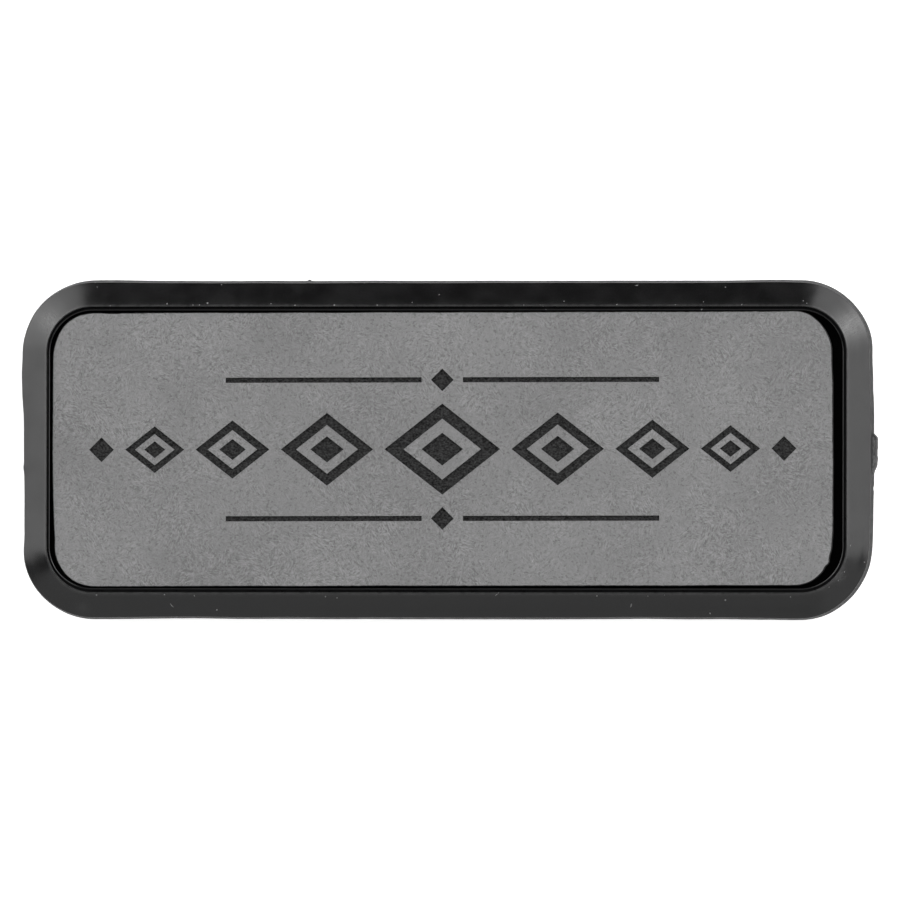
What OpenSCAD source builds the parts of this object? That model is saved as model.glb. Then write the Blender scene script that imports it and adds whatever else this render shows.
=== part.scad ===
// Name badge. A grey leatherette insert lies in the pocket of a black moulded frame, and a flat
// bar behind the frame holds the badge to a garment.
// The badge lies on its bar with its face up: +X runs along it, +Y towards its top edge and +Z
// out of its face. The origin is the middle of the bar's back face. All sizes are millimetres.

/* [Frame] */
// Length of the frame from end to end
frame_l = 82.55; // [80:0.05:110]
// Height of the frame from its bottom edge to its top edge
frame_h = 32.8; // [28:0.05:50]
// Depth of the frame from its flat back to the crest of its rim
frame_d = 3.8; // [3.7:0.1:5]
// Radius of the outline's corners
corner_r = 7.0; // [6:0.1:10]
// Width of the rim from the outline to the crest's inner side
rim_w = 2.52; // [2:0.02:2.8]
// Slope of the rim's bevel in degrees, measured from the face
bevel_deg = 30; // [20:1:35]
// Lean of the outer wall in degrees, inwards from the back to the bevel
draft_deg = 6; // [2:0.5:8]
// Thickness of the floor behind the insert
floor_t = 1.8; // [1.2:0.1:1.9]

/* [Ledge inside the rim] */
// Height of the ledge above the frame's back
ledge_z = 3.55; // [3.2:0.05:3.6]
// Width of the ledge between the crest and the pocket
ledge_w = 0.34; // [0.2:0.02:0.6]

/* [Edges of the frame] */
// Radius of the edge round the frame's back
heel_r = 0.3; // [0.1:0.05:0.5]
// Radius of the edge between the outer wall and the bevel
brow_r = 0.12; // [0.06:0.02:0.3]
// Radius of the crest
crest_r = 0.08; // [0.06:0.02:0.1]
// Radius of the ledge's inner edge
ridge_r = 0.12; // [0.06:0.02:0.16]

/* [Gate mark] */
// Length of the torn mark where the moulding was broken from its runner
gate_l = 3.6; // [2:0.1:5]
// How far the mark stands out of the frame's right end
gate_proud = 0.35; // [0.1:0.05:0.5]
// Thickness of the mark
gate_t = 1.5; // [0.8:0.1:1.8]
// Height of the mark's lower side above the frame's back
gate_z = 0.35; // [0.3:0.05:0.6]
// Place of the mark along the end, above the middle if positive
gate_y = -0.6; // [-4:0.1:4]

/* [Insert] */
// Thickness of the leatherette sheet with its backing
insert_t = 1.6; // [1.2:0.1:1.7]
// Free length in the pocket, both ends together
end_play = 1.15; // [0.6:0.05:2]
// Free height in the pocket, both sides together
side_play = 0.6; // [0.4:0.05:1.2]
// How much smaller the sheet's corner radius is than the pocket's
corner_ease = 0.16; // [0:0.02:0.3]
// Radius of the sheet's upper cut edge
insert_edge_r = 0.12; // [0.05:0.01:0.2]
// Where the sheet lies in its free length: -1 at the left end, 0 in the middle, 1 at the right
insert_lay = -0.65; // [-0.8:0.05:0.8]
// How far the sheet was laid askew, in degrees
insert_turn = 0.11; // [0:0.01:0.15]

/* [Engraving] */
// Depth of the engraving
engrave_d = 0.15; // [0.05:0.01:0.3]
// Half the width of the lozenge in the middle
lozenge_w = 5.6; // [4:0.1:5.6]
// Half the height of the lozenge in the middle
lozenge_h = 4.4; // [3:0.1:4.6]
// Size of each lozenge against its neighbour nearer the middle
lozenge_shrink = 0.8; // [0.7:0.01:0.8]
// Number of lozenges on each side of the middle one
lozenge_count = 3; // [1:1:3]
// Space between the tips of one lozenge and the next
lozenge_gap = 1.1; // [0.6:0.1:1.1]
// Distance of each thin rule from the middle of the chain
rule_y = 6.7; // [6:0.1:7.5]
// Thickness of the thin rules
rule_t = 0.5; // [0.3:0.05:0.8]
// Length of each thin rule
rule_l = 19; // [8:1:24]

/* [Magnet bar] */
// Length of the bar
bar_l = 45; // [30:1:60]
// Height of the bar
bar_h = 13; // [10:1:18]
// Thickness of the bar
bar_t = 2.0; // [1.5:0.1:4]
// Radius of the bar's corners
bar_corner_r = 2.5; // [1:0.1:4]
// Radius of the bar's edges
bar_edge_r = 0.25; // [0.1:0.05:0.5]

/* [Hidden] */

$fa = 3;
$fs = 0.1;

// Gap that is left between one piece and the next
seam = 0.05;
// How far a cutter runs past the face that it opens
past = 1;

frame_z = bar_t + seam;
insert_z = frame_z + floor_t + seam;

// The frame's section lies in the plane of the corner's radius and the height
mouth_x = corner_r - rim_w;
pocket_x = mouth_x - ledge_w;
pocket_l = frame_l - 2 * (rim_w + ledge_w);
pocket_h = frame_h - 2 * (rim_w + ledge_w);

insert_l = pocket_l - end_play;
insert_h = pocket_h - side_play;
insert_r = pocket_x - corner_ease;
insert_x = insert_lay * end_play / 2;

// Each rounded edge is a circle that meets the straight lines beside it. These are the ways out
// of the bevel and out of the wall, and the circles' middles.
bevel_out = [sin(bevel_deg), cos(bevel_deg)];
wall_out = [cos(draft_deg), sin(draft_deg)];
heel = [corner_r - heel_r, heel_r];
crest = [mouth_x + crest_r, frame_d - crest_r];
ridge = [pocket_x + ridge_r, ledge_z - ridge_r];
brow = crossing(
    bevel_out, bevel_out * crest + crest_r - brow_r,
    wall_out, wall_out * heel + heel_r - brow_r
);

// Inner side of a lozenge's outline and its solid core, against the lozenge's own size
outline_inner = 0.67;
core_size = 0.36;
// Half the size of the small diamonds at the chain's ends and between the rules
end_diamond = 1.2;
rule_diamond = 1.1;
rule_start = rule_diamond + 0.9;

// Point at given distances from the origin, measured along two directions
function crossing(way_a, a, way_b, b) =
    [a * way_b.y - b * way_a.y, b * way_a.x - a * way_b.x] / cross(way_a, way_b);

// Half width of the lozenge that is a number of steps from the middle one
function half_width(step) = lozenge_w * pow(lozenge_shrink, step);

// Distance from the middle of the chain to the middle of that lozenge
function lozenge_x(step) =
    step == 0 ? 0 : lozenge_x(step - 1) + half_width(step - 1) + lozenge_gap + half_width(step);

end_diamond_x = lozenge_x(lozenge_count) + half_width(lozenge_count) + lozenge_gap + end_diamond;

// A slab with the same section all round its edge. The children draw that section in the
// plane of the corner's radius and the height, from the corner's axis outwards.
module edged_slab(l, h, r, middle_t) {
    run = [l - 2 * r, h - 2 * r];
    translate([-run.x / 2, -run.y / 2, 0]) cube([run.x, run.y, middle_t]);
    for (quarter = [0:3]) {
        along = quarter % 2 == 0 ? run.y : run.x;
        across = quarter % 2 == 0 ? run.x : run.y;
        rotate(90 * quarter) translate([across / 2, 0, 0]) {
            rotate([90, 0, 0]) linear_extrude(along, center = true) children();
            translate([0, along / 2, 0]) rotate_extrude(angle = 90) children();
        }
    }
}

// Section of a flat sheet or bar with rounded edges on its face and, if wanted, on its back
module sheet_section(r, t, face_edge, back_edge) {
    polygon([
        [0, 0],
        [r - back_edge, 0],
        [r, back_edge],
        [r, t - face_edge],
        [r - face_edge, t],
        [0, t],
    ]);
    translate([r - face_edge, t - face_edge]) circle(face_edge);
    if (back_edge > 0) translate([r - back_edge, back_edge]) circle(back_edge);
}

// Section through the rim: outer wall, bevel, crest, ledge, pocket wall and floor
module rim_section() {
    polygon([
        [0, 0],
        [heel.x, 0],
        heel + heel_r * wall_out,
        brow + brow_r * wall_out,
        brow + brow_r * bevel_out,
        crest + crest_r * bevel_out,
        [mouth_x, crest.y],
        [mouth_x, ledge_z],
        [ridge.x, ledge_z],
        [pocket_x, ridge.y],
        [pocket_x, floor_t],
        [0, floor_t],
    ]);
    translate(heel) circle(heel_r);
    translate(brow) circle(brow_r);
    translate(crest) circle(crest_r);
    translate(ridge) circle(ridge_r);
}

// Torn stub on the right end, higher at the end where the runner tore off last
module gate_mark() {
    root = 0.4;
    translate([frame_l / 2, gate_y, gate_z])
        linear_extrude(gate_t)
            polygon([
                [-root, -gate_l / 2],
                [0, -gate_l / 2],
                [0.7 * gate_proud, -0.4 * gate_l],
                [0.8 * gate_proud, -0.1 * gate_l],
                [gate_proud, 0.15 * gate_l],
                [0.9 * gate_proud, 0.38 * gate_l],
                [0, gate_l / 2],
                [-root, gate_l / 2],
            ]);
}

// A diamond given by half its width and half its height
module diamond(half_w, half_h) {
    polygon([[-half_w, 0], [0, -half_h], [half_w, 0], [0, half_h]]);
}

// An outlined lozenge with a solid core
module lozenge(half_w, half_h) {
    difference() {
        diamond(half_w, half_h);
        diamond(outline_inner * half_w, outline_inner * half_h);
    }
    diamond(core_size * half_w, core_size * half_h);
}

// Right half of the engraving: the smaller lozenges, the end diamond and the thin rules
module engraving_half() {
    for (step = [1:lozenge_count])
        translate([lozenge_x(step), 0])
            lozenge(half_width(step), lozenge_h * pow(lozenge_shrink, step));
    translate([end_diamond_x, 0]) diamond(end_diamond, end_diamond);
    for (side = [-1, 1])
        translate([rule_start, side * rule_y - rule_t / 2]) square([rule_l, rule_t]);
}

// Whole engraving: a chain of lozenges, largest in the middle, between two thin rules
module engraving() {
    lozenge(lozenge_w, lozenge_h);
    engraving_half();
    mirror([1, 0]) engraving_half();
    for (side = [-1, 1])
        translate([0, side * rule_y]) diamond(rule_diamond, rule_diamond);
}

module frame() {
    color([0.10, 0.10, 0.11])
        translate([0, 0, frame_z]) {
            edged_slab(frame_l, frame_h, corner_r, floor_t) rim_section();
            gate_mark();
        }
}

module insert() {
    color([0.51, 0.51, 0.52])
        translate([insert_x, 0, insert_z])
            rotate(insert_turn)
                difference() {
                    edged_slab(insert_l, insert_h, insert_r, insert_t)
                        sheet_section(insert_r, insert_t, insert_edge_r, 0);
                    translate([0, 0, insert_t - engrave_d]) linear_extrude(past) engraving();
                }
}

module magnet_bar() {
    color([0.72, 0.72, 0.74])
        edged_slab(bar_l, bar_h, bar_corner_r, bar_t)
            sheet_section(bar_corner_r, bar_t, bar_edge_r, bar_edge_r);
}

frame();
insert();
magnet_bar();
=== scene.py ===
"""Name badge: an engraved grey leatherette insert in a black moulded frame, with a magnet bar behind.

The badge lies on its bar with its face up. +X runs along it and +Y towards its top edge. Sizes
are metres, written as millimetres times MM.
"""

import logging
import math
from collections.abc import Iterator
from dataclasses import dataclass
from enum import Enum
from functools import partial, reduce

import bmesh
import bpy
from mathutils import Matrix, Vector, noise


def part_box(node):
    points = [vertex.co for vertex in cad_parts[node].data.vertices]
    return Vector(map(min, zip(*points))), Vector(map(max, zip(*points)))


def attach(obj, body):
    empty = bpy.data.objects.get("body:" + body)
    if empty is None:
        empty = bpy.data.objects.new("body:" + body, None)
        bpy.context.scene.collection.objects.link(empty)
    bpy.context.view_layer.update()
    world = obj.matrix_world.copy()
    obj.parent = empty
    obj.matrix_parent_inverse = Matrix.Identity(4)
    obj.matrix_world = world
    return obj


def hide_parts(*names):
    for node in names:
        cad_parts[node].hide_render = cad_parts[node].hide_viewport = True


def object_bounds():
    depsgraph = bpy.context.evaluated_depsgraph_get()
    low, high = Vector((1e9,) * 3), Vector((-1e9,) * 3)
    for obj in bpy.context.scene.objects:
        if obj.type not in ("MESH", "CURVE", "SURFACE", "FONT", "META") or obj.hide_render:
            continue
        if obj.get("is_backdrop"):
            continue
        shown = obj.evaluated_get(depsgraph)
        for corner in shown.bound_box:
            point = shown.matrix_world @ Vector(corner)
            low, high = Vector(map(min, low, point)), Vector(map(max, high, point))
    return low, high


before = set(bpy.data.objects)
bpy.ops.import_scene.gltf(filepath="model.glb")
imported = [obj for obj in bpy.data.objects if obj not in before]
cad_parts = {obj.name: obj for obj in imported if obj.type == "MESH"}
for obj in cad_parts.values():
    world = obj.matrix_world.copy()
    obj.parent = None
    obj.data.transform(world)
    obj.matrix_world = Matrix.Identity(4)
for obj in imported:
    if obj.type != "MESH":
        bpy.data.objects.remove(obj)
cad_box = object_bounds()

MM = 0.001
BODY = "root"
LOG = logging.getLogger("name_badge")

SAME_PLACE = 1e-6  # metres within which two points count as one
FLAT_START = 1.25  # start of a flat against the start of the rounding before it
BAND = 3  # width of the flat band swept beside an edge, against its radius
QUARTER = math.pi / 2
CRISP_ANGLE = math.radians(40)  # from which an edge is shown sharp
ENDLESS = 1e3  # half size in metres of a mark where it has no end
UNEVEN = (0.5, 1.3)  # least and greatest strength of an uneven coverage
WHITE = (1.0, 1.0, 1.0, 1.0)

BMesh = bmesh.types.BMesh
Material = bpy.types.Material
Socket = bpy.types.NodeSocket
Value = Socket | float | tuple[float, ...]
Triple = tuple[float, float, float]
Colour = Triple
Range = tuple[float, float]


class Side(Enum):
    """Sides of a plan in the order of a sweep, with their outward directions."""

    TOP = (0, 1)
    LEFT = (-1, 0)
    BOTTOM = (0, -1)
    RIGHT = (1, 0)


class Moulding(Enum):
    """Places of the frame's materials in its list of slots."""

    RIM = 0
    WALL = 1
    POCKET = 2
    GATE = 3
    LEDGE = 4


class Finish(Enum):
    """Places of the insert's materials in its list of slots."""

    FACE = 0
    ENGRAVING = 1
    CUT_EDGE = 2


def section_point(reach: float, height: float) -> Vector:
    """A point of a section: its distance from the corner's axis and its height."""
    return Vector((reach, 0, height))


def start_of_rounding(radius: float, turn: float) -> float:
    """Distance from a sharp point to where a rounding starts that turns by an angle."""
    return radius * math.tan(turn / 2)


@dataclass(frozen=True)
class Corner:
    """A corner of a section, sharp or rounded, and how finely the stretch after it is divided."""

    point: Vector
    rounding: float = 0.0
    facets: int = 0
    parts: int = 1


def trace(corners: list[Corner]) -> list[Vector]:
    """List a section's points, with one close behind each rounding so that flats stay flat.

    Args:
        corners: Corners of the section in order.

    Returns:
        Points from the first corner to the last.
    """
    points = []
    for corner, following in zip(corners, corners[1:]):
        way = (following.point - corner.point).normalized()
        start = corner.point + way * corner.rounding * FLAT_START
        end = following.point - way * following.rounding * FLAT_START
        if corner.rounding:
            points.append(corner.point)
        points.extend(start.lerp(end, part / corner.parts) for part in range(corner.parts))
        if following.rounding:
            points.append(end)
    return [*points, corners[-1].point]


def held(value: float) -> float:
    """Hold a value between 0 and 1."""
    return min(max(value, 0.0), 1.0)


def smooth_step(value: float) -> float:
    """Ease a value from 0 to 1 and hold it outside that range."""
    share = held(value)
    return share * share * (3 - 2 * share)


def each(kind: type, *rows: tuple[float, ...]) -> tuple:
    """Make one thing of a kind from each row of values."""
    return tuple(kind(*row) for row in rows)


def grey(level: float) -> Colour:
    """A neutral colour."""
    return (level, level, level)


def about_z(turn: float) -> Triple:
    """A rotation about Z by some degrees, as a node takes it."""
    return (0.0, 0.0, math.radians(turn))


@dataclass(frozen=True)
class Nudge:
    """A small place where an outline stands out or, if the push is negative, falls back."""

    x: float
    y: float
    reach: float
    push: float

    def at(self, place: Vector) -> float:
        """How far this nudge moves a point of the outline."""
        away = math.hypot(place.x - self.x * MM, place.y - self.y * MM) / (self.reach * MM)
        return self.push * MM * math.exp(-away * away)


@dataclass(frozen=True)
class Ripple:
    """A smooth random unevenness of an outline: the size of its waves and its push, in millimetres."""

    cell: float
    push: float

    def at(self, place: Vector) -> float:
        """How far this ripple moves a point of the outline."""
        return noise.noise(place / (self.cell * MM)) * self.push * MM


def total(flaws: tuple[Nudge | Ripple, ...], place: Vector) -> float:
    """How far some nudges or ripples together move a point."""
    return sum(flaw.at(place) for flaw in flaws)


@dataclass(frozen=True)
class RoundedPlan:
    """A rectangle with round corners, round which a section is swept."""

    length: float
    height: float
    corner: float
    column: float
    corner_steps: int = 28

    @property
    def half_runs(self) -> tuple[float, float]:
        """Half the straight length of the top and bottom, and of the left and right ends."""
        return self.length / 2 - self.corner, self.height / 2 - self.corner

    def beyond(self, place: Vector) -> Vector:
        """The way from the nearest corner axis, or the line between two, to a point."""
        run_x, run_y = self.half_runs
        over_x = math.copysign(max(abs(place.x) - run_x, 0), place.x)
        over_y = math.copysign(max(abs(place.y) - run_y, 0), place.y)
        return Vector((over_x, over_y, 0))

    def is_at(self, place: Vector, point: Vector) -> bool:
        """Whether a vertex was swept from this point of the section."""
        return (section_point(self.beyond(place).length, place.z) - point).length < SAME_PLACE

    def sweep(self, corners: list[Corner]) -> BMesh:
        """Sweep an open section once round the plan, round its edges and close its two ends.

        Args:
            corners: Section's corners, with their distance from the plan's corner axis as x and
                their height as z.

        Returns:
            A closed solid.
        """
        bm = bmesh.new()
        run_x, run_y = self.half_runs
        start = Vector((run_x, run_y, 0))
        points = [bm.verts.new(start + point) for point in trace(corners)]
        front = points + [bm.edges.new(pair) for pair in zip(points, points[1:])]
        for side in Side:
            out_x, out_y = side.value
            axis = ((out_x + out_y) * run_x, (out_y - out_x) * run_y, 0)
            front = bmesh.ops.spin(
                bm, geom=front, cent=axis, axis=(0, 0, 1), angle=QUARTER, steps=self.corner_steps
            )["geom_last"]
            run = 2 * (run_x if out_y else run_y)
            columns = round(run / self.column)
            step = Vector((-out_y, out_x, 0)) * run / columns
            front = bmesh.ops.spin(
                bm, geom=front, cent=axis, axis=(0, 0, 1), dvec=step, angle=0, steps=columns
            )["geom_last"]
        bmesh.ops.remove_doubles(bm, verts=bm.verts, dist=SAME_PLACE)
        for corner in corners:
            if corner.rounding:
                self.round_edge(bm, corner)
        bmesh.ops.holes_fill(bm, edges=[edge for edge in bm.edges if edge.is_boundary], sides=0)
        return bm

    def round_edge(self, bm: BMesh, corner: Corner) -> None:
        """Round the edge that runs through one corner of the section.

        Args:
            bm: Swept band.
            corner: Rounded corner of the section.
        """
        loop = [edge for edge in bm.edges if all(self.is_at(vert.co, corner.point) for vert in edge.verts)]
        bmesh.ops.bevel(
            bm, geom=loop, offset=corner.rounding, offset_type="OFFSET", segments=corner.facets,
            profile=0.5, affect="EDGES", clamp_overlap=True, material=-1,
        )


def add_object(name: str, data: bpy.types.ID) -> bpy.types.Object:
    """Add an object to the scene."""
    added = bpy.data.objects.new(name, data)
    bpy.context.scene.collection.objects.link(added)
    return added


def make_piece(bm: BMesh, name: str, materials: list[Material]) -> bpy.types.Object:
    """Turn a finished bmesh into an object of the scene.

    Args:
        bm: Closed shape in the row's frame, which is freed here.
        name: Name of the piece.
        materials: Materials in the order of their slots.

    Returns:
        The object, with smooth roundings and crisp flat faces.
    """
    bmesh.ops.recalc_face_normals(bm, faces=bm.faces)
    for face in bm.faces:
        face.smooth = len(face.verts) == 4
    mesh = bpy.data.meshes.new(name)
    bm.to_mesh(mesh)
    bm.free()
    mesh.set_sharp_from_angle(angle=CRISP_ANGLE)
    for material in materials:
        mesh.materials.append(material)
    return add_object(name, mesh)


@dataclass(frozen=True)
class Speck:
    """A speck of dust or a short bit of lint, in millimetres on the badge's plan."""

    x: float
    y: float
    size: float = 0.05
    length: float = 0.0
    turn: float = 0.0


@dataclass(frozen=True)
class SmudgedHighlight:
    """A painted highlight of the lamps, a faint bright spot broken up by short streaky smudges, in
    millimetres on the badge's plan.
    """

    x: float
    y: float
    radius: float
    turn: float
    core: float = 0.2


@dataclass(frozen=True)
class Grain:
    """A noise: the size of its cells in millimetres, alike or along X, Y and Z, and its finer layers.

    A spread takes its values from half_range under a half to as far over it.
    """

    cell: float | Triple
    detail: float = 1.0
    roughness: float = 0.5
    half_range: float = 0.2


# Unevenness of a speck's border, streaks of a painted highlight and the values of them that show
SPECK_BORDER = Grain(0.12)
HIGHLIGHT_STREAKS = Grain((0.55, 0.16, 0.3), 2)
HIGHLIGHT_STREAK_RANGE = (0.3, 0.75)


class Recipe:
    """Node tree of one material, with short methods for the nodes that the finishes share."""

    def __init__(self, name: str) -> None:
        """Start a material with one principled shader."""
        self.material = bpy.data.materials.new(name)
        self.material.use_nodes = True
        self.tree = self.material.node_tree
        self.shader = self.tree.nodes["Principled BSDF"]
        self.place = self.node("ShaderNodeTexCoord").outputs["Object"]
        self.height = self.node("ShaderNodeSeparateXYZ", {0: self.place}).outputs["Z"]

    def node(
        self, kind: str, inputs: dict[str | int, Value] | None = None, **settings: object
    ) -> bpy.types.Node:
        """Add a node.

        Args:
            kind: Blender's name of the node type.
            inputs: Sockets to link and numbers to set, by the input's name or place.
            settings: Properties of the node.

        Returns:
            The new node.
        """
        made = self.tree.nodes.new(kind)
        for setting, choice in settings.items():
            setattr(made, setting, choice)
        for key, value in (inputs or {}).items():
            self.feed(made.inputs[key], value)
        return made

    def feed(self, target: Socket, value: Value) -> None:
        """Link a socket to an input, or set a number on it."""
        if isinstance(value, Socket):
            self.tree.links.new(value, target)
        else:
            target.default_value = value

    def mottle(self, grain: Grain, turn: float = 0.0) -> Socket:
        """Add a noise.

        Args:
            grain: Its cells and finer layers.
            turn: Turn of the pattern about Z, in degrees.

        Returns:
            The pattern, from 0 to 1.
        """
        cells = grain.cell if isinstance(grain.cell, tuple) else (grain.cell,) * 3
        scale = tuple(1 / (size * MM) for size in cells)
        turned = self.node("ShaderNodeMapping", {"Vector": self.place, "Rotation": about_z(turn)})
        scaled = self.node("ShaderNodeMapping", {"Vector": turned.outputs[0], "Scale": scale})
        sockets = {"Scale": 1.0, "Detail": grain.detail, "Roughness": grain.roughness}
        return self.node("ShaderNodeTexNoise", {"Vector": scaled.outputs[0], **sockets}).outputs["Fac"]

    def ramp(self, value: Socket, start: float, end: float, low: float = 0.0, high: float = 1.0) -> Socket:
        """Map the values from start to end to those from low to high, held at both ends."""
        sockets = {"Value": value, "From Min": start, "From Max": end, "To Min": low, "To Max": high}
        return self.node("ShaderNodeMapRange", sockets).outputs[0]

    def spread(self, grain: Grain, low: float = 0.0, high: float = 1.0) -> Socket:
        """Add a noise whose middle range is mapped to another range."""
        return self.ramp(self.mottle(grain), 0.5 - grain.half_range, 0.5 + grain.half_range, low, high)

    def around(self, middle: Triple, half_size: Triple, turn: float = 0.0) -> Socket:
        """Coordinates centred on a spot, turned with it and 1 at its border."""
        sockets = {"Vector": self.place, "Location": middle, "Rotation": about_z(turn), "Scale": half_size}
        return self.node("ShaderNodeMapping", sockets, vector_type="TEXTURE").outputs[0]

    def away(self, centred: Socket) -> Socket:
        """Distance from the middle of centred coordinates."""
        return self.node("ShaderNodeVectorMath", {0: centred}, operation="LENGTH").outputs["Value"]

    def maths(self, operation: str, first: Value, second: Value = 0.0) -> Socket:
        """Combine two values."""
        return self.node("ShaderNodeMath", {0: first, 1: second}, operation=operation).outputs[0]

    def strongest(self, values: list[Socket]) -> Socket:
        """The greatest of some values."""
        return reduce(partial(self.maths, "MAXIMUM"), values)

    def blend(self, factor: Socket, first: Value, second: Value) -> Socket:
        """Mix two numbers by a factor."""
        return self.node("ShaderNodeMix", {0: factor, 2: first, 3: second}).outputs[0]

    def specks(self, specks: tuple[Speck, ...], lowest: float) -> Socket:
        """Mark specks on the surfaces above a height.

        Args:
            specks: The specks, at least one.
            lowest: Height under which there are none, in metres.

        Returns:
            1 in a speck and 0 elsewhere.
        """
        border = self.spread(SPECK_BORDER, *UNEVEN)
        marks = []
        for speck in specks:
            half_size = ((speck.size + speck.length) * MM, speck.size * MM, ENDLESS)
            centred = self.around((speck.x * MM, speck.y * MM, 0), half_size, speck.turn)
            marks.append(self.maths("LESS_THAN", self.away(centred), border))
        above = self.maths("GREATER_THAN", self.height, lowest)
        return self.maths("MULTIPLY", self.strongest(marks), above)

    def smudged_highlights(self, smudged_highlights: tuple[SmudgedHighlight, ...]) -> Socket:
        """Paint highlights as short streaks that fade outwards.

        Args:
            smudged_highlights: The painted highlights, at least one.

        Returns:
            1 in the strongest streak and 0 elsewhere.
        """
        marks = []
        for smudged_highlight in smudged_highlights:
            radius = smudged_highlight.radius * MM
            centred = self.around((smudged_highlight.x * MM, smudged_highlight.y * MM, 0), (radius, radius, ENDLESS))
            fade = self.ramp(self.away(centred), smudged_highlight.core, 1.0, 1.0, 0.0)
            streaks = self.ramp(self.mottle(HIGHLIGHT_STREAKS, smudged_highlight.turn), *HIGHLIGHT_STREAK_RANGE)
            marks.append(self.maths("MULTIPLY", fade, streaks))
        return self.strongest(marks)

    def tint(self, factor: Socket, low: Value, high: Colour) -> Socket:
        """Mix two colours by a factor."""
        sockets = {"Factor": factor, 6: low if isinstance(low, Socket) else (*low, 1), 7: (*high, 1)}
        return self.node("ShaderNodeMix", sockets, data_type="RGBA").outputs[2]

    def relief(self, height: Socket, depth: float, below: Socket | None = None) -> Socket:
        """Turn a height into a bumped normal.

        Args:
            height: Height from 0 to 1.
            depth: Depth of the relief in millimetres.
            below: Normal of a coarser relief beneath this one.

        Returns:
            The normal.
        """
        sockets = {"Height": height, "Distance": depth * MM, "Strength": 1.0}
        if below is not None:
            sockets["Normal"] = below
        return self.node("ShaderNodeBump", sockets).outputs[0]

    def dress(self, **sockets: Value) -> Material:
        """Set the shader's inputs, named with underscores for spaces, and hand the material over."""
        for name, value in sockets.items():
            self.feed(self.shader.inputs[name.replace("_", " ")], value)
        return self.material


@dataclass(frozen=True)
class BlackPlastic:
    """Satin black moulded plastic: an uneven gloss, a paler crest that is partly abrasion and partly a
    painted highlight, some dust and a few painted highlights broken up by smudges.
    """

    base: Colour = (0.0022, 0.0022, 0.0024)
    dust: Colour = grey(0.20)
    # Colour of the painted highlights
    highlight_colour: Colour = grey(0.06)
    # Colour of the paler crest: partly abrasion, partly a painted highlight along its rounding
    worn_and_highlit_crest: Colour = grey(0.034)
    crest_wear_and_highlight: Grain = Grain(0.5, 2)
    wear_and_highlight_power: float = 4.5
    wear_and_highlight_reach: float = 0.35 * MM
    haze: Grain = Grain(2.2, 3, half_range=0.15)
    gloss: Range = (0.19, 0.27)
    skin: Grain = Grain(0.09)
    skin_depth: float = 0.0006
    waves: Grain = Grain(1.8)
    wave_depth: float = 0.006
    # Painted highlights where the lamps catch the bevel near three corners, broken up by streaky smudges
    highlight_spots: tuple[SmudgedHighlight, ...] = (
        SmudgedHighlight(-38.38, 12.36, 1.5, 55),
        SmudgedHighlight(39.10, 12.05, 1.7, -40),
        SmudgedHighlight(37.75, -12.0, 1.2, -40),
    )
    specks: tuple[Speck, ...] = each(
        Speck,
        (-34.15, 16.23, 0.08), (-33.95, 15.71), (-28.76, 16.20, 0.08), (-27.07, 14.09, 0.08),
        (-23.17, 14.15, 0.09), (-24.55, 13.95, 0.06), (-23.93, 13.95, 0.06), (-32.56, 13.87),
        (-21.88, 15.95), (-10.82, 13.94, 0.08), (-6.68, 13.94, 0.08), (-8.00, 16.13), (-14.65, 13.92, 0.06),
        (-16.98, 14.06), (-3.31, 14.20), (-0.73, 14.94), (-4.23, 13.72), (7.53, 13.92, 0.045),
        (9.10, 13.97, 0.04), (9.52, 13.65, 0.035, 0.2, -50), (11.40, 14.30), (16.53, 13.97, 0.06),
        (18.38, 15.85, 0.035, 0.12, 10), (26.97, 15.69), (24.74, 13.55, 0.05, 0.2, 65), (20.57, 13.60),
        (22.19, 13.95), (24.90, 14.24), (28.61, 13.95, 0.06), (34.55, 14.33, 0.045), (34.89, 14.09, 0.06),
        (-33.87, -14.13, 0.08), (-32.92, -13.68, 0.06), (-27.27, -14.08, 0.07),
        (-26.59, -15.13, 0.05, 0.25, -50), (-24.36, -14.17, 0.07), (-22.25, -15.53, 0.08),
        (-11.66, -14.29, 0.07), (-13.21, -13.81), (-10.54, -14.38), (4.96, -14.03, 0.025, 0.22, 40),
        (14.63, -14.16, 0.06), (12.77, -13.68), (13.65, -13.68), (17.91, -15.09, 0.035, 0.2, 75),
        (21.17, -14.09, 0.045), (19.57, -14.18, 0.06), (22.66, -13.65), (27.05, -14.56, 0.07),
        (25.51, -15.84, 0.07), (33.34, -14.27, 0.06), (40.45, -10.90), (39.14, -9.30, 0.03, 0.08, 80),
        (38.57, -11.81, 0.025, 0.08, 60), (37.98, -12.67, 0.03, 0.05, 50), (37.07, -13.32, 0.035),
    )

    def material(self, name: str, lowest: float, crest: float) -> Material:
        """Build the material.

        Args:
            name: Its name.
            lowest: Height under which no dust lies, in metres.
            crest: Height of the crest, which is paler from abrasion and a painted highlight, in metres.

        Returns:
            The material.
        """
        mix = Recipe(name)
        speck = mix.specks(self.specks, lowest)
        # Paler crest, uneven: partly abrasion, partly a painted highlight along the crest
        near_crest = mix.ramp(mix.height, crest - self.wear_and_highlight_reach, crest)
        crest_wear_and_highlight = mix.maths("POWER", near_crest, self.wear_and_highlight_power)
        crest_wear_and_highlight = mix.maths("MULTIPLY", crest_wear_and_highlight, mix.spread(self.crest_wear_and_highlight, *UNEVEN))
        gloss = mix.spread(self.haze, *self.gloss)
        waves = mix.relief(mix.mottle(self.waves), self.wave_depth)
        # Base colour with the paler crest and the painted highlights mixed in
        worn_and_highlit = mix.tint(mix.smudged_highlights(self.highlight_spots), mix.tint(crest_wear_and_highlight, self.base, self.worn_and_highlit_crest), self.highlight_colour)
        return mix.dress(
            Base_Color=mix.tint(speck, worn_and_highlit, self.dust),
            Roughness=mix.maths("MAXIMUM", gloss, speck),
            Normal=mix.relief(mix.mottle(self.skin), self.skin_depth, waves),
        )


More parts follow.
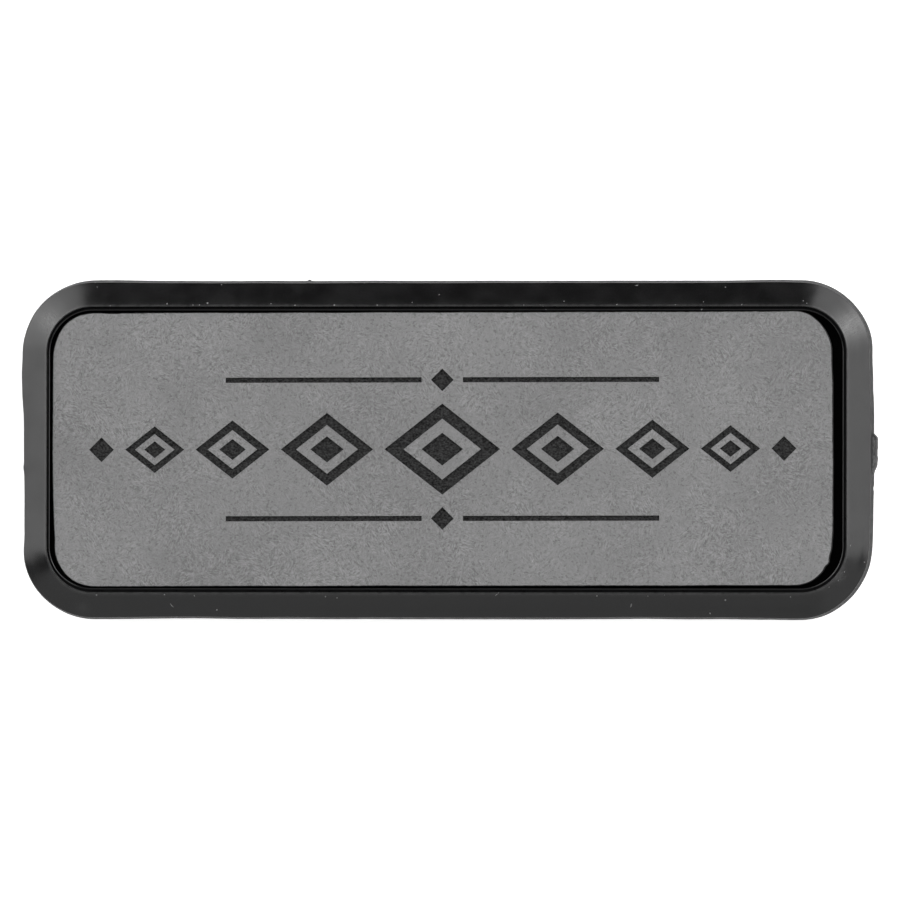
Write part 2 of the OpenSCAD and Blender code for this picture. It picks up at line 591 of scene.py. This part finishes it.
@dataclass(frozen=True)
class Grained:
    """One substance with a fine grain, which sets its tone and its relief, and with a stained gloss."""

    dark: Colour
    light: Colour
    grain: Grain
    depth: float
    roughness: Range
    shine: float = 0.5
    stains: Grain = Grain(8.0, 3)
    metallic: float = 0.0
    glow: float = 0.0

    def material(self, name: str) -> Material:
        """Build the material.

        Args:
            name: Its name.

        Returns:
            The material.
        """
        mix = Recipe(name)
        return mix.dress(
            Base_Color=mix.tint(mix.spread(self.grain), self.dark, self.light),
            Metallic=self.metallic,
            Roughness=mix.spread(self.stains, *self.roughness),
            Specular_IOR_Level=self.shine,
            Emission_Color=WHITE,
            Emission_Strength=self.glow,
            Normal=mix.relief(mix.mottle(self.grain), self.depth),
        )


def dull_plastic(base: Colour, roughness: float, shine: float, uneven: float = 0.06) -> Grained:
    """The frame's plastic where the mould isn't polished: dull, finely pitted and even in tone."""
    gloss = (roughness - uneven, roughness + uneven)
    return Grained(base, base, Grain(0.12, 2), 0.002, gloss, shine, Grain((0.6, 0.6, 2.5)))


WALL_PLASTIC = dull_plastic((0.0022, 0.0022, 0.0024), roughness=0.70, shine=0.30)
# Painted shade: the pocket is darker and less shiny than the rest of the one moulding, so that the deep gap
# round the insert stays black
POCKET_SHADED_PLASTIC = dull_plastic((0.0008, 0.0008, 0.0009), roughness=0.50, shine=0.10)
LEDGE_PLASTIC = dull_plastic((0.0020, 0.0020, 0.0022), roughness=0.32, shine=0.22)

# Floor of the laser engraving, with the fine grit that the burning leaves
CHARCOAL = Grained(
    dark=grey(0.003), light=(0.050, 0.050, 0.0504), grain=Grain((0.20, 0.15, 0.16), 2, 0.6, 0.18),
    depth=0.03, roughness=(0.9, 0.9), shine=0.15,
)

# Nickel-plated steel, brushed along the bar
BRUSHED_NICKEL = Grained(
    dark=(0.46, 0.45, 0.43), light=(0.66, 0.65, 0.62), grain=Grain((6.0, 0.06, 0.06), 3, 0.6),
    depth=0.002, roughness=(0.24, 0.38), metallic=1.0,
)

# Floor of the studio, which glows a little so that it stays even
PALE_FLOOR = Grained(
    dark=grey(0.86), light=grey(0.90), grain=Grain(40.0, 2, half_range=0.5),
    depth=0.0, roughness=(0.9, 0.9), glow=0.75,
)


@dataclass(frozen=True)
class TornPlastic:
    """Torn black plastic, which the tearing has whitened in streaks, up to a ragged border."""

    dark: Colour = grey(0.006)
    light: Colour = grey(0.10)
    middle: Triple = (0.0, -0.5 * MM, 3.175 * MM)
    half_size: Triple = (ENDLESS, 2.15 * MM, 0.85 * MM)
    border: Range = (0.8, 1.0)
    ragged: Grain = Grain((0.4, 0.4, 0.3), 2)
    ragged_depth: float = 0.25
    streaks: Grain = Grain((0.12, 0.3, 0.14), 3, 0.6, 0.15)
    streak_depth: float = 0.01
    faintest: float = 0.2
    roughness: float = 0.8
    shine: float = 0.3

    def material(self, name: str) -> Material:
        """Build the material.

        Args:
            name: Its name.

        Returns:
            The material.
        """
        mix = Recipe(name)
        shares = mix.node("ShaderNodeSeparateXYZ", {0: mix.around(self.middle, self.half_size)}).outputs
        away = mix.strongest([mix.maths("ABSOLUTE", shares[axis]) for axis in "YZ"])
        shift = mix.spread(self.ragged, -self.ragged_depth, self.ragged_depth)
        whitened = mix.ramp(mix.maths("ADD", away, shift), *self.border, 1.0, 0.0)
        pale = mix.maths("MULTIPLY", whitened, mix.spread(self.streaks, self.faintest))
        return mix.dress(
            Base_Color=mix.tint(pale, self.dark, self.light),
            Roughness=self.roughness,
            Specular_IOR_Level=self.shine,
            Normal=mix.relief(mix.mottle(self.streaks), self.streak_depth),
        )


@dataclass(frozen=True)
class Leatherette:
    """Grey leatherette with short fibres in changing directions, dark pores and soft clouds of tone."""

    dark: Colour = (0.160, 0.160, 0.1607)
    light: Colour = (0.302, 0.302, 0.3034)
    lint: Colour = grey(0.36)
    fibre: Grain = Grain((0.30, 0.13, 0.2))
    fibre_turns: tuple[float, ...] = (14.0, 62.0, 108.0, 151.0)
    fibre_contrast: float = 1.6
    regions: tuple[Grain, ...] = (Grain(2.4, half_range=0.05), Grain(1.7, half_range=0.05))
    patches: Grain = Grain(4.0, 2, half_range=0.15)
    patch_strength: Range = (0.5, 1.5)
    clouds: Grain = Grain(8.0, 3)
    cloud_contrast: float = 0.13
    speckle: Grain = Grain(0.13, half_range=0.25)
    speckle_contrast: float = 0.12
    pores: Grain = Grain((0.26, 0.24, 0.2))
    pore_range: Range = (0.62, 0.69)
    pore_contrast: float = 0.45
    depth: float = 0.03
    roughness: float = 0.72
    shine: float = 0.25
    specks: tuple[Speck, ...] = each(
        Speck,
        (30.18, -4.11, 0.05, 0.12, -45), (30.67, -9.34, 0.05, 0.06, 10), (23.19, -9.83, 0.04, 0.15, -10),
        (-12.0, 9.6), (8.4, -10.8, 0.05, 0.15, 60),
    )

    def fibres(self, mix: Recipe) -> Socket:
        """Short strokes, which lie in another direction from one region of the sheet to the next.

        Args:
            mix: Recipe that takes the nodes.

        Returns:
            Fibre pattern from 0 to 1.
        """
        layers = [mix.mottle(self.fibre, turn) for turn in self.fibre_turns]
        for region in self.regions:
            pick = mix.spread(region)
            layers = [mix.blend(pick, *pair) for pair in zip(layers[::2], layers[1::2])]
        return layers[0]

    def material(self, name: str) -> Material:
        """Build the material.

        Args:
            name: Its name.

        Returns:
            The material.
        """
        mix = Recipe(name)
        strength = mix.spread(self.patches, *self.patch_strength)
        leaning = mix.maths("MULTIPLY", mix.maths("SUBTRACT", self.fibres(mix), 0.5), strength)
        drift = mix.spread(self.clouds, -self.cloud_contrast, self.cloud_contrast)
        pores = mix.ramp(mix.mottle(self.pores), *self.pore_range)
        tone = mix.maths("MULTIPLY", leaning, self.fibre_contrast)
        tone = mix.maths("ADD", tone, mix.maths("ADD", drift, 0.5))
        speckle = mix.spread(self.speckle, -self.speckle_contrast, self.speckle_contrast)
        tone = mix.maths("ADD", tone, speckle)
        tone = mix.maths("SUBTRACT", tone, mix.maths("MULTIPLY", pores, self.pore_contrast))
        colour = mix.tint(tone, self.dark, self.light)
        return mix.dress(
            Base_Color=mix.tint(mix.specks(self.specks, 0.0), colour, self.lint),
            Roughness=self.roughness,
            Specular_IOR_Level=self.shine,
            Normal=mix.relief(tone, self.depth),
        )


@dataclass(frozen=True)
class CutEdge:
    """Cut edge of the leatherette, darkened by the laser, with its darker backing showing below."""

    face: Colour = grey(0.05)
    backing: Colour = grey(0.02)
    rough: Grain = Grain((0.25, 0.25, 0.12), 2)
    rough_depth: float = 0.02
    seam_wander: float = 0.1 * MM
    seam_blur: float = 0.05 * MM
    roughness: float = 0.85
    shine: float = 0.2

    def material(self, name: str, seam: float) -> Material:
        """Build the material.

        Args:
            name: Its name.
            seam: Height at which the leatherette ends and its backing starts, in metres.

        Returns:
            The material.
        """
        mix = Recipe(name)
        rough = mix.mottle(self.rough)
        shift = mix.ramp(rough, 0.0, 1.0, -self.seam_wander, self.seam_wander)
        level = mix.maths("ADD", mix.height, shift)
        above = mix.ramp(level, seam - self.seam_blur, seam + self.seam_blur)
        return mix.dress(
            Base_Color=mix.tint(above, self.backing, self.face),
            Roughness=self.roughness,
            Specular_IOR_Level=self.shine,
            Normal=mix.relief(rough, self.rough_depth),
        )


@dataclass(frozen=True)
class TornGate:
    """Torn mark on the right end, in millimetres, where the moulding was broken from its runner.

    Its shares are parts of its length, its height and how far it stands out.
    """

    least: float = 0.01
    low_y: float = -2.75
    high_y: float = 1.75
    low_z: float = 0.3
    high_z: float = 1.95
    proud: float = 0.44
    foot_share: float = 0.36
    tear_share: float = 0.14
    edge_share: float = 0.2
    low_end_share: float = 0.85
    ripples: tuple[Ripple, ...] = (Ripple(0.35, 0.0539), Ripple(0.14, 0.0385))

    def at(self, place: Vector) -> float:
        """How far the mark stands out at a point of the right wall.

        Args:
            place: Point of the wall, with the frame's back at height 0.

        Returns:
            Distance to move the point along +X.
        """
        along = (place.y / MM - self.low_y) / (self.high_y - self.low_y)
        up = (place.z / MM - self.low_z) / (self.high_z - self.low_z)
        if not (0 < along < 1 and 0 < up < 1):
            return 0.0
        foot = smooth_step(along / self.foot_share)
        tear = smooth_step((1 - along) / self.tear_share)
        band = smooth_step(up / self.edge_share) * smooth_step((1 - up) / self.edge_share)
        rise = self.proud * MM * (self.low_end_share + (1 - self.low_end_share) * along)
        return foot * tear * band * (rise + total(self.ripples, place))


@dataclass
class MouldedFrame:
    """Black tray with a bevelled rim and a narrow ledge inside it, in one moulding."""

    corner: float = 7.0 * MM
    rim_w: float = 2.57 * MM
    bevel_deg: float = 30.0
    draft_deg: float = 6.0
    floor_t: float = 1.8 * MM
    ledge_z: float = 3.55 * MM
    ledge_w: float = 0.34 * MM
    ledge_extra: tuple[float, ...] = (0.035 * MM, -0.06 * MM, 0.08 * MM, 0.03 * MM)
    high_rim_extra: float = 0.05 * MM
    heel_r: float = 0.3 * MM
    brow_r: float = 0.12 * MM
    crest_r: float = 0.08 * MM
    ridge_r: float = 0.15 * MM
    crown: float = 0.008 * MM
    brow_out_low: float = 0.11 * MM
    brow_in_high: float = 0.04 * MM
    flaw_start: float = 0.5
    flaw_blend: float = 0.4
    end_share: float = 0.9
    slack: float = 0.005 * MM
    column: float = 0.2 * MM
    gate: TornGate = TornGate()
    ripples: tuple[Ripple, ...] = (Ripple(5.0, 0.03), Ripple(0.7, 0.008))
    nudges: tuple[Nudge, ...] = each(
        Nudge,
        (-40.0, 13.4, 4.5, 0.13), (-40.6, -12.4, 3.5, 0.08), (39.6, 13.9, 3.5, -0.10),
        (40.2, -13.1, 2.6, -0.20), (38.2, -15.2, 1.6, -0.08), (-41.2, 7.3, 2.2, 0.20),
        (-41.2, 4.9, 1.4, 0.08), (-41.2, 10.4, 1.2, 0.05), (41.2, 5.8, 1.2, -0.07),
        (41.2, -10.3, 1.2, -0.05), (-41.2, -8.5, 1.5, -0.06), (-41.2, -1.7, 0.35, 0.07),
        (-41.2, -5.5, 3.0, -0.06), (-13.5, 16.4, 0.15, 0.16), (-32.6, 16.4, 3.0, 0.07),
        (31.6, 16.4, 3.5, 0.07), (33.4, -16.4, 2.0, 0.06), (26.8, -16.4, 2.0, -0.04),
        (18.5, -16.4, 4.5, -0.05), (-25.5, -16.4, 5.0, -0.07), (-16.5, -16.4, 3.0, -0.045),
        (41.2, 8.8, 2.2, -0.16), (41.2, -5.2, 1.6, -0.04), (41.2, -8.6, 3.0, -0.12),
        (41.2, -3.7, 0.16, -0.09),
    )

    def __post_init__(self) -> None:
        """Take the overall sizes from the CAD node and work out the section's points."""
        low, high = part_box("frame")
        self.back = low.z
        self.depth = high.z - low.z
        self.plan = RoundedPlan(-2 * low.x, high.y - low.y, self.corner, self.column)
        self.slope = math.radians(self.bevel_deg)
        self.draft = math.radians(self.draft_deg)
        fall = math.tan(self.slope)
        lean = math.tan(self.draft)
        self.heel_start = start_of_rounding(self.heel_r, QUARTER + self.draft)
        self.crest_start = start_of_rounding(self.crest_r, QUARTER + self.slope)
        mouth = self.corner - self.rim_w
        foot = self.corner + self.heel_start - self.heel_r
        crest_top = self.depth + self.crest_r * (1 / math.cos(self.slope) - 1 + fall)
        brow_z = (crest_top - (foot - mouth) * fall) / (1 - lean * fall)
        self.border = section_point(foot - BAND * self.heel_r, 0)
        self.heel = section_point(foot, 0)
        self.brow = section_point(foot - brow_z * lean, brow_z)
        self.crest = section_point(mouth, crest_top)
        self.mouth = section_point(mouth, self.ledge_z)
        self.ridge = section_point(mouth - self.ledge_w, self.ledge_z)
        self.foot = section_point(mouth - self.ledge_w, self.floor_t)

    def corners(self) -> list[Corner]:
        """Section through the rim, from its back over the crest to the pocket's floor."""
        brow_start = start_of_rounding(self.brow_r, QUARTER - self.slope - self.draft)
        return [
            Corner(self.border),
            Corner(self.heel, self.heel_start, facets=6, parts=7),
            Corner(self.brow, brow_start, facets=6, parts=7),
            Corner(self.crest, self.crest_start, facets=8),
            Corner(self.mouth),
            Corner(self.ridge, start_of_rounding(self.ridge_r, QUARTER), facets=5, parts=3),
            Corner(self.foot),
        ]

    def shape(self, place: Vector) -> Vector:
        """How far moulding and breaking off moved a point of the frame.

        Args:
            place: Point of the true shape, with the frame's back at height 0.

        Returns:
            The way from there to its real place.
        """
        out = self.plan.beyond(place)
        reach = out.length
        way = out / reach
        across = (reach - self.mouth.x) / (self.brow.x - self.mouth.x)
        inwards = -self.high_rim_extra * max(way.y, 0.0) * held(1 - across)
        # Ledge and pocket's wall
        if reach < self.border.x - self.heel_r and place.z < self.ledge_z + self.ridge_r:
            inner = smooth_step((self.mouth.x - reach) / (self.ledge_w - self.ridge_r))
            return way * (inwards - self.extra_ledge(way) * inner)
        if place.z < self.ledge_z - self.floor_t:
            inwards = 0.0
        moved = way * inwards
        if place.z > self.brow.z:
            moved.z += self.crown * math.sin(math.pi * held(across))
        # The brow stands out at the lower edge and falls back at the top edge
        shift = max(-way.y, 0.0) * self.brow_out_low + min(-way.y, 0.0) * self.brow_in_high
        moved += way * shift * max(min(across, place.z / self.brow.z), 0.0)
        edge = smooth_step((across - self.flaw_start) / self.flaw_blend)
        moved += way * edge * (total(self.nudges, place) + total(self.ripples, place))
        if self.faces_right(out):
            moved.x += self.gate.at(place)
        return moved

    def extra_ledge(self, way: Vector) -> float:
        """How much wider the ledge came out in a direction from the corner's axis.

        Args:
            way: The direction, of length 1.

        Returns:
            Extra width, from the values of the two sides that meet at that corner.
        """
        top, left, bottom, right = self.ledge_extra
        upright = way.y**2
        along = top if way.y > 0 else bottom
        end = right if way.x > 0 else left
        return along * upright + end * (1 - upright)

    def faces_right(self, out: Vector) -> bool:
        """Whether a point of the outer wall lies on the right end."""
        return out.x > self.end_share * self.corner

    def surface_of(self, face: bmesh.types.BMFace) -> Moulding:
        """Which surface of the moulding a face belongs to.

        Args:
            face: Face of the true shape, with its back at height 0.

        Returns:
            The surface.
        """
        middle = face.calc_center_median()
        out = self.plan.beyond(middle)
        reach = out.length
        if self.faces_right(out) and self.gate.at(middle) > self.gate.least * MM:
            return Moulding.GATE
        below_brow = reach > self.border.x and middle.z < self.brow.z - self.brow_r / 2
        if below_brow or middle.z < self.heel_r / 2:
            return Moulding.WALL
        if reach < self.ridge.x + self.ridge_r / 2 and middle.z < self.ledge_z - self.ridge_r:
            return Moulding.POCKET
        below_crest = self.ledge_z - self.slack / 4 < middle.z < self.crest.z - self.crest_start
        if reach < self.mouth.x + self.slack and below_crest:
            return Moulding.LEDGE
        return Moulding.RIM

    def build(self) -> bpy.types.Object:
        """Model the frame.

        Returns:
            The piece.
        """
        bm = self.plan.sweep(self.corners())
        for face in bm.faces:
            face.material_index = self.surface_of(face).value
        for vert in bm.verts:
            vert.co += self.shape(vert.co)
        bmesh.ops.translate(bm, verts=bm.verts, vec=(0, 0, self.back))
        brow = self.back + self.brow.z - self.brow_r
        materials = [
            BlackPlastic().material("black_plastic", brow, self.back + self.depth),
            WALL_PLASTIC.material("outer_wall_plastic"),
            # Painted shade in the pocket
            POCKET_SHADED_PLASTIC.material("pocket_shaded_plastic"),
            TornPlastic().material("torn_plastic"),
            LEDGE_PLASTIC.material("ledge_plastic"),
        ]
        piece = make_piece(bm, "moulded_frame", materials)
        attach(piece, BODY)
        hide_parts("frame")
        return piece


def placed(x: float, y: float, wide: float, high: float) -> Matrix:
    """Matrix that gives a flat shape of size 1 its place and size in millimetres."""
    return Matrix.Translation((x * MM, y * MM, 0)) @ Matrix.Diagonal((wide * MM, high * MM, 1, 1))


@dataclass(frozen=True)
class LozengeChain:
    """Engraved design: a chain of outlined lozenges between two thin rules, in millimetres."""

    half_w: float = 5.6
    half_h: float = 4.4
    shrink: float = 0.8
    count: int = 3
    gap: float = 1.1
    outline_inner: float = 0.67
    core: float = 0.36
    end_half: float = 1.2
    rule_y: float = 6.7
    rule_t: float = 0.5
    rule_l: float = 19.0
    rule_start: float = 2.0
    rule_diamond: float = 1.1
    cutter_rise: float = 3.0

    def lozenges(self) -> Iterator[tuple[float, float]]:
        """Middle and scale of each lozenge, from the middle one to the right."""
        middle, scale = 0.0, 1.0
        yield middle, scale
        for _ in range(self.count):
            smaller = scale * self.shrink
            middle += (scale + smaller) * self.half_w + self.gap
            scale = smaller
            yield middle, scale

    def diamond(self, bm: BMesh, *sizes: float) -> list[bmesh.types.BMEdge]:
        """Outline a diamond, given by its middle and half its width and height."""
        made = bmesh.ops.create_circle(bm, segments=4, radius=1, matrix=placed(*sizes))
        return list(dict.fromkeys(edge for vert in made["verts"] for edge in vert.link_edges))

    def solid(self, bm: BMesh, *sizes: float) -> None:
        """Add a filled diamond."""
        bmesh.ops.edgeloop_fill(bm, edges=self.diamond(bm, *sizes))

    def lozenge(self, bm: BMesh, x: float, scale: float) -> None:
        """Add an outlined lozenge with a filled core."""
        wide, high = self.half_w * scale, self.half_h * scale
        outer = self.diamond(bm, x, 0, wide, high)
        inner = self.diamond(bm, x, 0, wide * self.outline_inner, high * self.outline_inner)
        bmesh.ops.bridge_loops(bm, edges=outer + inner)
        self.solid(bm, x, 0, wide * self.core, high * self.core)

    def rule(self, bm: BMesh, x: float, y: float) -> None:
        """Add a thin rule."""
        place = placed(x, y, self.rule_l, self.rule_t)
        bmesh.ops.create_grid(bm, x_segments=1, y_segments=1, size=0.5, matrix=place)

    def cutter(self, top: float, depth: float) -> BMesh:
        """Build the solid that cuts the engraving.

        Args:
            top: Height of the face that it cuts.
            depth: Depth of the engraving.

        Returns:
            Separate closed prisms that reach past the face.
        """
        bm = bmesh.new()
        for middle, scale in self.lozenges():
            for mirror in (1, -1) if middle else (1,):
                self.lozenge(bm, mirror * middle, scale)
        end = middle + self.half_w * scale + self.gap + self.end_half
        for mirror in (1, -1):
            self.solid(bm, mirror * end, 0, self.end_half, self.end_half)
            self.solid(bm, 0, mirror * self.rule_y, self.rule_diamond, self.rule_diamond)
            for level in (self.rule_y, -self.rule_y):
                self.rule(bm, mirror * (self.rule_start + self.rule_l / 2), level)
        bmesh.ops.translate(bm, verts=bm.verts, vec=(0, 0, top - depth))
        raised = bmesh.ops.extrude_face_region(bm, geom=bm.faces[:])["geom"]
        lifted = [part for part in raised if isinstance(part, bmesh.types.BMVert)]
        bmesh.ops.translate(bm, verts=lifted, vec=(0, 0, self.cutter_rise * depth))
        bmesh.ops.recalc_face_normals(bm, faces=bm.faces)
        return bm


@dataclass
class EngravedInsert:
    """Leatherette sheet, cut by hand a little unevenly, with a laser engraving in its face."""

    length: float = 75.63 * MM
    height: float = 26.53 * MM
    corner: float = 4.06 * MM
    edge_r: float = 0.12 * MM
    shift_x: float = -0.369 * MM
    shift_y: float = 0.009 * MM
    turn_deg: float = 0.11
    engrave_d: float = 0.15 * MM
    leather_t: float = 0.7 * MM
    edge_share: float = 1.2
    sunk: float = 0.015 * MM
    column: float = 0.2 * MM
    design: LozengeChain = LozengeChain()
    ripples: tuple[Ripple, ...] = (Ripple(4.0, 0.035), Ripple(0.6, 0.024))
    nudges: tuple[Nudge, ...] = each(
        Nudge,
        (-37.8, 10.6, 1.2, -0.11), (-36.0, 12.9, 1.2, 0.04), (-37.8, 0.3, 2.6, 0.05),
        (-37.8, -8.9, 1.8, -0.17), (-37.8, -5.8, 2.0, -0.06), (-37.4, -11.4, 1.2, -0.10),
        (37.4, 8.6, 1.8, -0.11), (33.9, 13.2, 1.5, 0.03), (35.2, 12.8, 1.0, 0.09), (37.4, -9.4, 1.2, -0.13),
        (37.3, -10.4, 0.55, -0.13), (37.29, -11.01, 0.25, 0.11), (36.94, -11.41, 0.35, -0.11),
        (37.3, 10.9, 1.1, -0.07), (35.4, -12.6, 1.0, 0.06), (-32.0, 13.2, 0.8, -0.05),
    )

    def __post_init__(self) -> None:
        """Take the sheet's heights from the CAD node."""
        low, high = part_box("insert")
        self.back = low.z
        self.thick = high.z - low.z
        self.plan = RoundedPlan(self.length, self.height, self.corner, self.column)

    def sheet(self) -> BMesh:
        """Model the sheet before it is engraved.

        Returns:
            Closed sheet with its back at height 0.
        """
        section = [
            Corner(section_point(self.corner, 0), parts=3),
            Corner(section_point(self.corner, self.thick), self.edge_r, facets=4),
            Corner(section_point(self.corner - BAND * self.edge_r, self.thick)),
        ]
        bm = self.plan.sweep(section)
        for vert in bm.verts:
            out = self.plan.beyond(vert.co)
            outline = Vector((vert.co.x, vert.co.y, 0))
            vert.co += out.normalized() * (total(self.nudges, outline) + total(self.ripples, outline))
        return bm

    def engrave(self, sheet: bpy.types.Object) -> None:
        """Cut the design into the sheet's face.

        Args:
            sheet: Sheet with its back at height 0.
        """
        mesh = bpy.data.meshes.new("engraving_cutter")
        bm = self.design.cutter(self.thick, self.engrave_d)
        bm.to_mesh(mesh)
        bm.free()
        cutter = add_object("engraving_cutter", mesh)
        cut = sheet.modifiers.new("engraving", "BOOLEAN")
        cut.operation = "DIFFERENCE"
        cut.solver = "EXACT"
        cut.object = cutter
        depsgraph = bpy.context.evaluated_depsgraph_get()
        engraved = bpy.data.meshes.new_from_object(sheet.evaluated_get(depsgraph))
        sheet.modifiers.clear()
        sheet.data = engraved
        bpy.data.objects.remove(cutter)

    def is_outer(self, face: bpy.types.MeshPolygon) -> bool:
        """Whether a face belongs to the sheet's edge or to the rounding above it."""
        return self.plan.beyond(face.center).length > self.corner - self.edge_share * self.edge_r

    def finish_of(self, face: bpy.types.MeshPolygon) -> Finish:
        """Which finish a face of the engraved sheet has.

        Args:
            face: Face of the sheet, with its back at height 0.

        Returns:
            The finish.
        """
        level = face.center.z
        if level < self.thick - self.edge_r / 2 and (self.is_outer(face) or level < self.thick / 2):
            return Finish.CUT_EDGE
        if level < self.thick - self.sunk:
            return Finish.ENGRAVING
        return Finish.FACE

    def build(self) -> bpy.types.Object:
        """Model and engrave the insert, and lay it slightly askew in the frame.

        Returns:
            The piece.
        """
        materials = [
            Leatherette().material("leatherette"),
            CHARCOAL.material("engraving"),
            CutEdge().material("cut_edge", self.back + self.thick - self.leather_t),
        ]
        piece = make_piece(self.sheet(), "engraved_insert", materials)
        self.engrave(piece)
        for face in piece.data.polygons:
            face.material_index = self.finish_of(face).value
            face.use_smooth = self.is_outer(face) and len(face.vertices) == 4
        piece.data.set_sharp_from_angle(angle=CRISP_ANGLE)
        turn = Matrix.Rotation(math.radians(self.turn_deg), 4, "Z")
        piece.data.transform(Matrix.Translation((self.shift_x, self.shift_y, self.back)) @ turn)
        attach(piece, BODY)
        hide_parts("insert")
        return piece


@dataclass
class MagnetBar:
    """Flat steel bar behind the frame, which holds the badge to a garment."""

    corner: float = 2.5 * MM
    edge_r: float = 0.25 * MM
    column: float = 1.0 * MM

    def build(self) -> bpy.types.Object:
        """Model the bar.

        Returns:
            The piece.
        """
        low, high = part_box("magnet_bar")
        plan = RoundedPlan(high.x - low.x, high.y - low.y, self.corner, self.column)
        inner = self.corner - BAND * self.edge_r
        section = [
            Corner(section_point(inner, low.z)),
            Corner(section_point(self.corner, low.z), self.edge_r, facets=5),
            Corner(section_point(self.corner, high.z), self.edge_r, facets=5),
            Corner(section_point(inner, high.z)),
        ]
        materials = [BRUSHED_NICKEL.material("brushed_nickel")]
        piece = make_piece(plan.sweep(section), "magnet_bar_steel", materials)
        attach(piece, BODY)
        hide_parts("magnet_bar")
        return piece


@dataclass(frozen=True)
class Panel:
    """A soft light: where it stands, in degrees seen from the badge, its size and its radiance."""

    name: str
    azimuth: float
    elevation: float
    width: float
    height: float
    radiance: float
    distance: float = 0.60

    def build(self) -> None:
        """Put the light up."""
        data = bpy.data.lights.new(self.name, "AREA")
        data.shape = "RECTANGLE"
        data.size = self.width
        data.size_y = self.height
        data.energy = math.pi * self.width * self.height * self.radiance
        light = add_object(self.name, data)
        around, up = math.radians(self.azimuth), math.radians(self.elevation)
        away = Vector((math.cos(up) * math.cos(around), math.cos(up) * math.sin(around), math.sin(up)))
        light.location = away * self.distance
        light.visible_camera = False
        light.rotation_mode = "QUATERNION"
        light.rotation_quaternion = away.to_track_quat("Z", "Y")


@dataclass
class Studio:
    """Pale floor, soft lights and the camera."""

    floor_size: float = 4.0
    ambient: float = 0.07
    lens: float = 700.0
    sensor: float = 36.0
    view_width: float = 87.16 * MM
    lean_deg: float = 4.0
    tilt_deg: float = 1.3
    aim: Triple = (0.138 * MM, 0.002 * MM, 2.05 * MM)
    panels: tuple[Panel, ...] = (
        Panel("left_panel", 148.4, 30, 0.83, 0.38, 2.48),
        Panel("left_screen", 149, 30, 0.41, 0.30, 0.80, 0.58),
        Panel("left_inner_screen", 148, 29, 0.21, 0.28, 0.62, 0.56),
        Panel("left_lamp", 149, 27, 0.09, 0.20, 0.55, 0.54),
        Panel("right_panel", 33.2, 32, 0.92, 0.38, 2.46),
        Panel("right_screen", 30, 32, 0.38, 0.30, 0.90, 0.58),
        Panel("right_inner_screen", 30, 32, 0.22, 0.28, 1.35, 0.56),
        Panel("right_lamp", 30, 33, 0.11, 0.20, 1.40, 0.54),
        Panel("front_left_panel", 227, 30, 0.47, 0.40, 0.76),
        Panel("front_panel", 275, 30, 0.45, 0.40, 0.75),
        Panel("front_right_panel", 322, 30, 0.45, 0.40, 0.92),
        Panel("high_back_panel", 90, 58, 0.50, 0.18, 0.82),
    )

    def build_floor(self) -> None:
        """Lay a pale floor under the badge."""
        bm = bmesh.new()
        bmesh.ops.create_grid(bm, x_segments=2, y_segments=2, size=self.floor_size / 2)
        make_piece(bm, "floor", [PALE_FLOOR.material("pale_floor")])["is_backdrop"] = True

    def build_world(self) -> None:
        """Fill the room with a dim even light and keep the colours true."""
        world = bpy.data.worlds.new("room")
        world.use_nodes = True
        sockets = world.node_tree.nodes["Background"].inputs
        sockets["Color"].default_value = WHITE
        sockets["Strength"].default_value = self.ambient
        bpy.context.scene.world = world
        bpy.context.scene.view_settings.view_transform = "Standard"

    def build_camera(self) -> None:
        """Set the camera above the badge, leaning to its right and a little towards its lower edge."""
        data = bpy.data.cameras.new("camera")
        data.lens = self.lens
        data.sensor_width = self.sensor
        camera = add_object("camera", data)
        tilt = Matrix.Rotation(math.radians(self.tilt_deg), 3, "X")
        turned = tilt @ Matrix.Rotation(math.radians(self.lean_deg), 3, "Y")
        away = turned @ Vector((0, 0, 1))
        camera.rotation_euler = turned.to_euler()
        camera.location = Vector(self.aim) + away * self.lens / self.sensor * self.view_width
        bpy.context.scene.camera = camera

    def build(self) -> None:
        """Build the floor, the lights and the camera."""
        self.build_floor()
        self.build_world()
        self.build_camera()
        for panel in self.panels:
            panel.build()


def write_sizes() -> None:
    """Gather the CAD model's box and the visual model's box, which are then not kept."""
    boxes = {"cad": cad_box, "visual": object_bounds()}
    {name: [list(corner) for corner in box] for name, box in boxes.items()}


def main() -> None:
    """Build the badge piece by piece, and then its studio."""
    logging.basicConfig(level=logging.INFO, format="%(name)s: %(message)s")
    for maker in (MouldedFrame(), EngravedInsert(), MagnetBar()):
        piece = maker.build()
        LOG.info("%s has %d faces", piece.name, len(piece.data.polygons))
    Studio().build()
    write_sizes()


if __name__ == "__main__":
    main()
